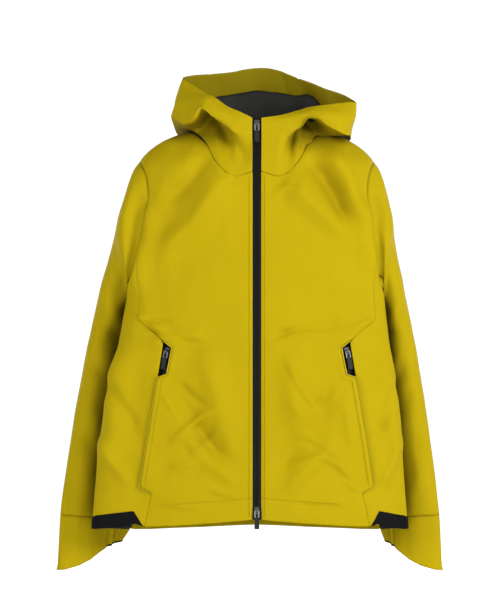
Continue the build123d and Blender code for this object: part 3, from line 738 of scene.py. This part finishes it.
def sleeve_rows(seed, mirror):
    turns = np.arange(TURNS) / TURNS * 2 * math.pi
    rings = [armhole_ring(turns, mirror)] + [sleeve_ring(section, turns) for section in SLEEVE]
    rows, where = rows_through(rings, ROW_SPACING)
    turn = np.broadcast_to(turns / math.pi, rows.shape[:2])
    relief = sleeve_relief(turn, rows, where, seed) - seam_dip(turn)
    relief -= SEAM_ROLL * np.exp(-(where[:, None] / 0.06) ** 2)
    return rows + grid_normals(rows) * relief[..., None], where, turns


def mirrored(rows, mirror):
    out = rows * np.array([mirror, 1, 1])
    return lean(out.reshape(-1, 3)).reshape(rows.shape)


def follow(obj):
    """Bake the cloth's placement into its mesh; it stays where it was built."""
    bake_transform(obj)


def handed(rows, mirror):
    """The columns in the order that keeps the cloth's face outward on this side."""
    return rows if mirror > 0 else rows[:, ::-1]


def column_strip(rows, first, last, mirror):
    """Part of a sleeve between two columns, both included."""
    return handed(rows[:, [c % TURNS for c in range(first, last + 1)]], mirror)


def finer(ring, factor):
    """A closed ring with that many times the points."""
    return curve_through(ring, len(ring) * factor, closed=True)


BINDING_STANDS = 0.0006   # how proud the elastic binding is of the cuff's edge


def cuff_rows(rows, where):
    """From the cuff seam down to the cut edge: long outside, gathered by elastic inside."""
    wrist = finer(rows[np.searchsorted(where, WRIST + 1)], CUFF_FINER)
    turns = np.arange(len(wrist)) / len(wrist) * 2 * math.pi
    full = sleeve_ring(SLEEVE[-1], turns)
    edge = np.array(CUFF_EDGE)
    bottom = np.interp(full[:, 0], edge[:, 0], edge[:, 1])
    middle = full.mean(axis=0)
    out = []
    for t in np.linspace(0, 1, CUFF_ROWS):
        z = lerp(wrist[:, 2], bottom, t)
        share = np.clip((wrist[:, 2] - z) / (wrist[:, 2] - full[:, 2]), 0, 1)[:, None]
        row = lerp(wrist, full, share)
        row[:, 2] = z
        gather = smooth((0.276 - full[:, 0]) / 0.03) * smooth(t / 0.7)
        away = unit((row - middle) * LEVEL)
        pleat = np.sin(turns * 27 + 1.5 * np.sin(turns * 5)) + 0.4 * np.sin(turns * 41)
        row += away * (gather * (CUFF_PLEAT * pleat - 0.003))[:, None]
        row[:, 0] += 0.013 * gather * smooth((ELASTIC_REACH - full[:, 0]) / 0.03) * t * t
        flare = 0.0022 * np.exp(-((1 - t) / 0.05) ** 2) * (1 - gather)
        row += away * (flare - SEAM_ROLL * math.exp(-(t / 0.05) ** 2))[:, None]
        out.append(row)
    return np.array(out), np.flatnonzero(full[:, 0] < ELASTIC_REACH)


for name, mirror, seed in (("left", 1, 0.0), ("right", -1, 2.6)):
    rows, where, turns = sleeve_rows(seed, mirror)
    last = np.searchsorted(where, WRIST + 1)
    cut = [round(share / 2 * TURNS) for share in UNDER]
    placed = mirrored(rows[:last + 1], mirror)
    for part, first, end in (("upper", cut[1] - TURNS, cut[0]), ("under", cut[0], cut[1])):
        piece = grid(f"sleeve_{part}_{name}_cloth", column_strip(placed, first, end, mirror))
        finish_cloth(piece, "shell_fabric", f"sleeve_{part}_{name}", inner=SHADED_FACING)
        follow(piece)
    cuff_plain, held = cuff_rows(rows, where)
    cloth = grid(f"cuff_{name}_cloth", handed(mirrored(cuff_plain, mirror), mirror), closed=True)
    finish_cloth(cloth, "shell_fabric", f"cuff_{name}", levels=0)
    binding = cuff_plain[-2:, held]
    away = unit((binding - binding.mean(axis=(0, 1))) * LEVEL)
    binding = binding + (away - np.array([0, 0, 1])) * BINDING_STANDS
    elastic = grid(f"cuff_elastic_{name}_binding", handed(mirrored(binding, mirror), mirror))
    finish_cloth(elastic, "elastic", f"cuff_elastic_{name}", outer=ELASTIC, inner=ELASTIC)
    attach(cloth, f"sleeve_{name}")
    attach(elastic, f"sleeve_{name}")


# ---------------- hem bands
band_front = [(0.2005, -0.0125)] + BAND_TOP + side_part(BAND_SIDE, -0.0205, 6) + HEM_SIDE[1:]
band_back = [(0.2275, -0.0265), (0.2275, -0.001)] + side_part(BAND_SIDE, -0.0205, 6)
for name, mirror in SIDES:
    for face, outline, side in (("front", band_front, -1), ("back", band_back, 1)):
        band = panel(f"hem_band_{name}_{face}", outline, side, lift=0.0012, spacing=0.003, mirror=mirror)
        body_cloth(band, "stretch_band", f"hem_band_{name}", outer=BAND, inner=BAND)


# ---------------- collar and hood
# Columns round the neck from the zip over the wearer's right shoulder, the back and the left shoulder
# to the zip. Each: x of the foot, with its z where it is not on the neck line and front (-1) or back (1);
# then a point of the fold beneath, the fold's edge, the wall and the rim.
HOOD_RIGHT = [
    (-0.0078, (-0.008, -0.0925, 0.65), (-0.008, -0.093, 0.68),
     (-0.008, -0.0925, 0.695), (-0.008, -0.0905, 0.7065)),
    (-0.02, (-0.022, -0.083, 0.642), (-0.022, -0.0945, 0.678),
     (-0.021, -0.093, 0.698), (-0.0175, -0.09, 0.7115)),
    (-0.036, (-0.038, -0.077, 0.662), (-0.037, -0.097, 0.68),
     (-0.036, -0.0935, 0.702), (-0.033, -0.087, 0.7195)),
    (-0.05, (-0.05, -0.056, 0.681), (-0.056, -0.0985, 0.6925),
     (-0.052, -0.0915, 0.714), (-0.048, -0.082, 0.7265)),
    (-0.063, (-0.063, -0.045, 0.698), (-0.077, -0.0975, 0.7075),
     (-0.07, -0.088, 0.727), (-0.064, -0.076, 0.7365)),
    (-0.073, (-0.077, -0.038, 0.708), (-0.098, -0.0925, 0.7235),
     (-0.09, -0.08, 0.742), (-0.084, -0.066, 0.7495)),
    (-0.08, (-0.09, -0.034, 0.698), (-0.11, -0.087, 0.708),
     (-0.104, -0.074, 0.74), (-0.099, -0.054, 0.7595)),
    (-0.088, (-0.104, -0.03, 0.688), (-0.128, -0.066, 0.6985),
     (-0.125, -0.054, 0.74), (-0.116, -0.033, 0.771)),
    ((-0.108, 0.69, -1), (-0.122, -0.014, 0.692), (-0.151, -0.04, 0.713),
     (-0.143, -0.03, 0.742), (-0.131, -0.012, 0.782)),
]
HOOD_BACK = [
    ((-0.13, 0.69, 1), (-0.127, 0.006, 0.692), (-0.148, 0.008, 0.7),
     (-0.143, 0.01, 0.745), (-0.127, 0.014, 0.788)),
    ((-0.096, 0.69, 1), (-0.104, 0.036, 0.684), (-0.136, 0.07, 0.682),
     (-0.131, 0.066, 0.745), (-0.11, 0.046, 0.794)),
    ((-0.07, 0.68, 1), (-0.08, 0.066, 0.676), (-0.104, 0.112, 0.672),
     (-0.101, 0.104, 0.742), (-0.085, 0.072, 0.798)),
    ((-0.042, 0.675, 1), (-0.047, 0.08, 0.668), (-0.062, 0.138, 0.666),
     (-0.062, 0.128, 0.742), (-0.048, 0.09, 0.803)),
    ((0.0, 0.672, 1), (0.0, 0.086, 0.664), (0.0, 0.148, 0.664), (0.0, 0.138, 0.745), (-0.004, 0.098, 0.81)),
    ((0.042, 0.675, 1), (0.047, 0.08, 0.668), (0.066, 0.138, 0.664),
     (0.068, 0.128, 0.738), (0.036, 0.092, 0.807)),
    ((0.07, 0.68, 1), (0.08, 0.066, 0.676), (0.112, 0.112, 0.668),
     (0.113, 0.104, 0.728), (0.076, 0.08, 0.7915)),
    ((0.096, 0.69, 1), (0.106, 0.036, 0.682), (0.148, 0.07, 0.668),
     (0.15, 0.064, 0.716), (0.118, 0.056, 0.772)),
    ((0.13, 0.69, 1), (0.13, 0.006, 0.69), (0.168, 0.022, 0.674),
     (0.171, 0.02, 0.714), (0.158, 0.026, 0.756)),
]
HOOD_LEFT = [
    ((0.108, 0.69, -1), (0.128, -0.014, 0.684), (0.166, -0.022, 0.68),
     (0.176, -0.015, 0.715), (0.1775, -0.008, 0.74)),
    (0.088, (0.112, -0.03, 0.676), (0.16, -0.05, 0.678), (0.165, -0.042, 0.712), (0.16, -0.025, 0.7385)),
    (0.084, (0.102, -0.032, 0.684), (0.141, -0.066, 0.685), (0.143, -0.058, 0.714), (0.138, -0.042, 0.735)),
    (0.079, (0.094, -0.03, 0.696), (0.126, -0.078, 0.693), (0.121, -0.07, 0.716), (0.115, -0.055, 0.731)),
    (0.074, (0.084, -0.03, 0.704), (0.108, -0.086, 0.705), (0.101, -0.078, 0.719), (0.095, -0.064, 0.7275)),
    (0.068, (0.073, -0.04, 0.7), (0.091, -0.092, 0.706), (0.083, -0.085, 0.716), (0.076, -0.072, 0.722)),
    (0.057, (0.059, -0.059, 0.672), (0.076, -0.096, 0.688), (0.067, -0.089, 0.708), (0.06, -0.079, 0.717)),
    (0.036, (0.042, -0.096, 0.65), (0.044, -0.0965, 0.682), (0.041, -0.092, 0.702), (0.039, -0.086, 0.7115)),
    (0.02, (0.021, -0.0945, 0.65), (0.021, -0.095, 0.682), (0.021, -0.093, 0.698), (0.0195, -0.0895, 0.708)),
    (0.0078, (0.008, -0.0925, 0.65), (0.008, -0.093, 0.68),
     (0.008, -0.0925, 0.695), (0.008, -0.0905, 0.7065)),
]
COLLAR_COLUMNS = 5        # columns at each end that stand as the collar; the rest is hood
CROWN_COLUMNS = (11, 15)  # the crown panel
HOOD_STEPS = 8            # columns of the mesh between two of the table
HOOD_ROWS = [5, 6, 6, 3, 3, 7, 7]   # rows of the mesh between the points of a column
FACING_DROP = 0.042       # depth of the facing inside the rim
SEAM_FLARE = 0.0003       # how proud the neck seam is of the body


def neck_z(x):
    line = np.array(NECK_LINE)
    return float(np.interp(abs(x), line[:, 0], line[:, 1]))


def hood_columns():
    """All the columns with eight points each, from the neck seam to the rim."""
    columns = []
    for column in HOOD_RIGHT + HOOD_BACK + HOOD_LEFT:
        foot = column[0] if isinstance(column[0], tuple) else (column[0], neck_z(column[0]), -1)
        foot = on_body(*foot, SEAM_FLARE)[0]
        below, edge, high, rim = (np.array(point) for point in column[1:])
        columns.append([foot, lerp(foot, below, 0.5), below, lerp(below, edge, 0.9), edge,
                        lerp(edge, high, 0.12), high, rim])
    return np.array(columns)


def open_normals(rows):
    return unit(np.cross(np.gradient(rows, axis=1), np.gradient(rows, axis=0)))


hood_table = hood_columns()
wide = resample(hood_table, [HOOD_STEPS] * (len(hood_table) - 1))      # mesh columns x 8 points
outer = resample(wide.transpose(1, 0, 2), HOOD_ROWS)
flow = np.arange(outer.shape[1]) / (outer.shape[1] - 1)
# The wrinkles calm down towards the zip and the neck seam
calm = smooth(np.minimum(flow, 1 - flow) / 0.1)[None, :] * smooth(np.arange(len(outer)) / 6)[:, None]
loose = outer.reshape(-1, 3)
crumple = 0.0032 * wrinkle(loose, 13.0, 4.4) + 0.001 * wrinkle(loose, 40.0, 7.7)
outer = outer + open_normals(outer) * (calm * crumple.reshape(outer.shape[:2]))[..., None]
spans = len(hood_table) - 1
cut = [HOOD_STEPS * column for column in (0, COLLAR_COLUMNS, *CROWN_COLUMNS, spans - COLLAR_COLUMNS, spans)]


def hood_part(rows, first, end):
    return rows[:, first:end + 1][:, ::-1]


def follow_hood(obj):
    follow(obj)


HOOD_NODES = ("collar_right", "hood_side_right", "hood_crown", "hood_side_left", "collar_left")
for node, first, end in zip(HOOD_NODES, cut, cut[1:]):
    piece = grid(f"{node}_cloth", hood_part(outer, first, end))
    finish_cloth(piece, "shell_fabric", node, inner=SHADED_FACING)
    if node.startswith("collar"):
        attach(piece, ROOT)
    else:
        follow_hood(piece)

# The inside: a facing down from the rim, then the dark lining down to the neck seam
rim = outer[-1]
inward = unit(np.array([0.0, 0.005, 0.0]) - rim * LEVEL)
depth = smooth((rim[:, 1] + 0.06) / 0.12)[:, None]         # 0 at the collar, 1 at the back
down = np.array([0, 0, -1.0])
below_row, wall_row = sum(HOOD_ROWS[:2]), sum(HOOD_ROWS[:6])
facing_drop = FACING_DROP * (1 - 0.4 * np.exp(-((rim[:, :1] - 0.085) / 0.018) ** 2))
face_edge = rim + inward * 0.006 * (1 - depth) + down * facing_drop * (0.7 + 0.3 * depth)
face_edge += (outer[wall_row] - rim) * LEVEL * 0.35 * depth
face_edge += np.outer(wrinkle(rim, 22.0, 2.2), (0, 0.002, 0.004))
foot_in = outer[0] + inward * 0.006
mid_in = outer[below_row] + inward * 0.01
start_in = rim + inward * 0.0016 + down * 0.0008
facing_rows = resample(np.array([start_in, lerp(start_in, face_edge, 0.5), face_edge]), [5, 5])
lining_rows = resample(np.array([face_edge, mid_in, foot_in]), [9, 9])
facing = grid("hood_facing_cloth", facing_rows)
finish_cloth(facing, "facing_fabric", "hood_facing", outer=SHADED_FACING, inner=SHADED_FACING)
follow_hood(facing)
lining = grid("neck_lining_cloth", lining_rows)
finish_cloth(lining, "black_lining", "neck_lining", outer=LINING, inner=LINING)
follow_hood(lining)


# ---------------- small soft pieces
def sheet(name, outline, y, spacing, wave):
    """A flat sheet facing the front, a little uneven, inside an (x, z) outline."""
    ring = np.array(dense(outline, spacing))
    low, high = ring.min(0), ring.max(0)
    gx, gz = np.meshgrid(np.arange(low[0], high[0], spacing), np.arange(low[1], high[1], spacing))
    flat, faces = fill(ring, gx.ravel(), gz.ravel(), 0.5 * spacing)
    place = np.insert(flat, 1, y, axis=1)
    place[:, 1] += wave * wrinkle(place, 18.0, 6.1)
    return new_mesh(name, place, faces)


BAG = [(0.179, 0.322), (0.2, 0.062), (0.192, 0.052), (0.1, 0.052), (0.08, 0.11), (0.079, 0.13),
       (0.09, 0.312), (0.102, 0.322)]
for name, mirror in SIDES:
    low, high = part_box(f"pocket_bag_{name}")
    bag = sheet(f"pocket_bag_{name}_mesh", [(mirror * x, z) for x, z in BAG], low[1], 0.006, 0.0016)
    body_cloth(bag, "pocket_mesh", f"pocket_bag_{name}", outer=MESH, inner=MESH)

low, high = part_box("wind_flap")
flap_rows = [[(lerp(low[0], high[0], c / 6), low[1] + 0.0008 * math.sin(z * 60) + 0.0012 * abs(c / 3 - 1), z)
              for c in range(7)] for z in np.linspace(low[2], high[2], 110)]
body_cloth(grid("wind_flap_cloth", flap_rows), "facing_fabric", "wind_flap", outer=SHADED_FACING, inner=SHADED_FACING)


def hang_loop():
    """A folded tape whose two ends run up into the neck seam."""
    low, high = (np.array(corner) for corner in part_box("hang_loop"))
    middle = (low + high) / 2
    radius = (high[0] - low[0]) / 2
    rows = []
    for turn in np.linspace(-1, 1, 33):
        angle = turn * math.radians(150)
        x = middle[0] + radius * math.sin(angle) * (1 - 0.25 * (abs(turn) > 0.8))
        z = middle[2] - radius * math.cos(angle)
        rows.append([(x, lerp(low[1], high[1], k / 4), z + 0.0006 * math.sin(9 * turn)) for k in range(5)])
    loop = grid("hang_loop_tape", rows)
    body_cloth(loop, "loop_webbing", "hang_loop", outer=LINING, inner=LINING, thickness=0.0014)


hang_loop()


# ---------------- piping and stitches
def line_on_front(outline, mirror, step, lift, side=-1):
    """Points on the cloth along an (x, z) line, with the cloth's normals."""
    pts = []
    for (x1, z1), (x2, z2) in zip(outline, outline[1:]):
        count = max(1, round(math.hypot(x2 - x1, z2 - z1) / step))
        pts += [(lerp(x1, x2, k / count), lerp(z1, z2, k / count)) for k in range(count)]
    pts.append(outline[-1])
    pts = np.array(pts)
    x, z = pts[:, 0] * mirror, pts[:, 1]
    extra = flap_lift(pts[:, 0], z) if side < 0 else 0.0
    place = on_body(x, z, side, lift + extra)
    normal = body_normal(across_of(x, z, side), z, side)
    return lean(place), normal


def tubes(name, runs, radius, sides=6):
    """Cords along runs of points, all in one mesh."""
    verts, faces = [], []
    for place, normal in runs:
        along = unit(np.gradient(place, axis=0))
        third = unit(np.cross(along, normal))
        up = np.cross(third, along)
        start = len(verts)
        for k in range(len(place)):
            for s in range(sides):
                turn = 2 * math.pi * s / sides
                verts.append(place[k] + radius * (math.cos(turn) * third[k] + math.sin(turn) * up[k]))
        for k in range(len(place) - 1):
            for s in range(sides):
                t = (s + 1) % sides
                a, b = start + k * sides, start + (k + 1) * sides
                faces.append((a + s, a + t, b + t, b + s))
        faces.append(tuple(start + s for s in range(sides))[::-1])
        faces.append(tuple(start + (len(place) - 1) * sides + s for s in range(sides)))
    return new_mesh(name, verts, faces)


STITCH = 0.0028           # length of a stitch
STITCH_GAP = 0.0011
THREAD = 0.00028          # radius of the thread


def body_trim(obj, mat):
    """A small shell-coloured part that stays with the jacket's body."""
    dress(obj, mat)
    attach(obj, ROOT)


def stitches(name, lines):
    """Runs of separate stitches along lines of points with normals."""
    runs = []
    for place, normal in lines:
        at = np.concatenate([[0], np.cumsum(np.linalg.norm(np.diff(place, axis=0), axis=1))])
        for start in np.arange(0.001, at[-1] - STITCH, STITCH + STITCH_GAP):
            t = np.array([start, start + 0.5 * STITCH, start + STITCH])
            run = np.stack([np.interp(t, at, place[:, k]) for k in range(3)], axis=-1)
            lay = np.stack([np.interp(t, at, normal[:, k]) for k in range(3)], axis=-1)
            run[1] += lay[1] * THREAD
            run[[0, 2]] -= lay[[0, 2]] * THREAD
            runs.append((run, lay))
    body_trim(tubes(name, runs, THREAD, 5), THREAD_COLOR)


HEM_ALLOWANCE = 0.038     # height of the hem's topstitch
# The window and flap cords carry the painted highlight of the folded edges
CORDS = (("window_edge", FLAP[-1:] + WINDOW, 0.001, 0.0006), ("flap_edge", FLAP, 0.0006, 0.0004))
front_lines = (
    [(x - 0.009, z) for x, z in FLAP[1:]],
    [(x, z + HEM_ALLOWANCE) for x, z in HEM_FRONT[:-1]],
    [(0.0135, z) for z in np.linspace(0.006, 0.606, 60)],
)
for name, mirror in SIDES:
    for cord, line, radius, lift in CORDS:
        run = line_on_front(line, mirror, 0.003, lift)
        body_trim(tubes(f"{cord}_{name}", [run], radius), EDGE_HIGHLIGHT)
    lines = [line_on_front(line, mirror, 0.004, 0.0003) for line in front_lines]
    stitches(f"front_stitches_{name}", lines)
back_hem = [(x, z + HEM_ALLOWANCE) for x, z in HEM_BACK]
stitches("back_stitches", [line_on_front(back_hem, side, 0.004, 0.0003, 1) for side in (1, -1)])


# ---------------- the CAD pieces that are kept
KEPT = {
    "zip_tape": TAPE, "pocket_tape": TAPE, "zip_coil": COIL, "pocket_coil": COIL, "zip_top_stops": COIL,
    "zip_insertion_pins": COIL, "zip_slider": GUNMETAL, "pocket_slider": GUNMETAL, "pull_ring": SATIN,
    "pocket_pull_ring": DULL, "pull_tab": RUBBER, "pocket_pull_tab": RUBBER,
}
for node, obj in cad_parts.items():
    for start, mat in KEPT.items():
        if node.startswith(start):
            dress(obj, mat)


# ---------------- stage, light and camera
FLOOR_GLOW = 0.97
AMBIENT = 0.1             # light from all round, against the white the camera sees
BACKDROP = 1.1            # brightness of that white
WHITE = (1, 1, 1, 1)


def stage():
    bpy.ops.mesh.primitive_plane_add(size=30, location=(0, 0, -0.35))
    floor = bpy.context.object
    floor.name = "floor"
    mat, tree, shader = material("floor_pale")
    # The camera sees the floor as pale as the backdrop; light still falls on it and bounces as usual
    seen = add_node(tree, "LightPath").outputs["Is Camera Ray"]
    feed_all(tree, shader, {
        "Base Color": (0.97, 0.97, 0.97, 1), "Roughness": 0.9, "Emission Color": WHITE,
        "Emission Strength": compute(tree, "MULTIPLY", seen, FLOOR_GLOW),
    })
    floor.data.materials.append(mat)
    world = bpy.data.worlds.new("studio")
    bpy.context.scene.world = world
    world.use_nodes = True
    tree = world.node_tree
    seen = add_node(tree, "LightPath").outputs["Is Camera Ray"]
    level = map_range(tree, seen, AMBIENT, BACKDROP)
    feed_all(tree, tree.nodes["Background"], {"Color": WHITE, "Strength": level})


def area(name, place, target, size, power):
    data = bpy.data.lights.new(name, "AREA")
    data.size = size
    data.energy = power
    lamp = bpy.data.objects.new(name, data)
    bpy.context.scene.collection.objects.link(lamp)
    lamp.location = place
    lamp.rotation_euler = (Vector(target) - Vector(place)).to_track_quat("-Z", "Y").to_euler()


CAMERA_DISTANCE = 4.4     # in front of the zip


def camera():
    data = bpy.data.cameras.new("camera")
    data.lens = 150
    data.sensor_width = 36
    cam = bpy.data.objects.new("camera", data)
    bpy.context.scene.collection.objects.link(cam)
    cam.location = (-0.012, -0.09 - CAMERA_DISTANCE, 0.385)
    cam.rotation_euler = (math.radians(90), 0, 0)
    bpy.context.scene.camera = cam


stage()
area("left", (-2.3, -1.9, 0.8), (0, 0, 0.38), 0.8, 34)
area("right", (2.1, -2.0, 1.0), (0, 0, 0.38), 0.8, 64)
area("front", (0.0, -3.4, 0.2), (0, 0, 0.25), 1.2, 4)
area("top", (0.2, -1.6, 2.6), (0, 0, 0.6), 1.2, 8)
area("back_left", (1.7, 2.6, 1.0), (0, 0, 0.35), 1.2, 34)
area("back_right", (-1.9, 2.4, 0.8), (0, 0, 0.35), 1.2, 26)
area("top", (0.2, -1.6, 2.6), (0, 0, 0.6), 1.2, 12)   # added to the first at the same place
camera()
bpy.context.scene.view_settings.view_transform = "Standard"
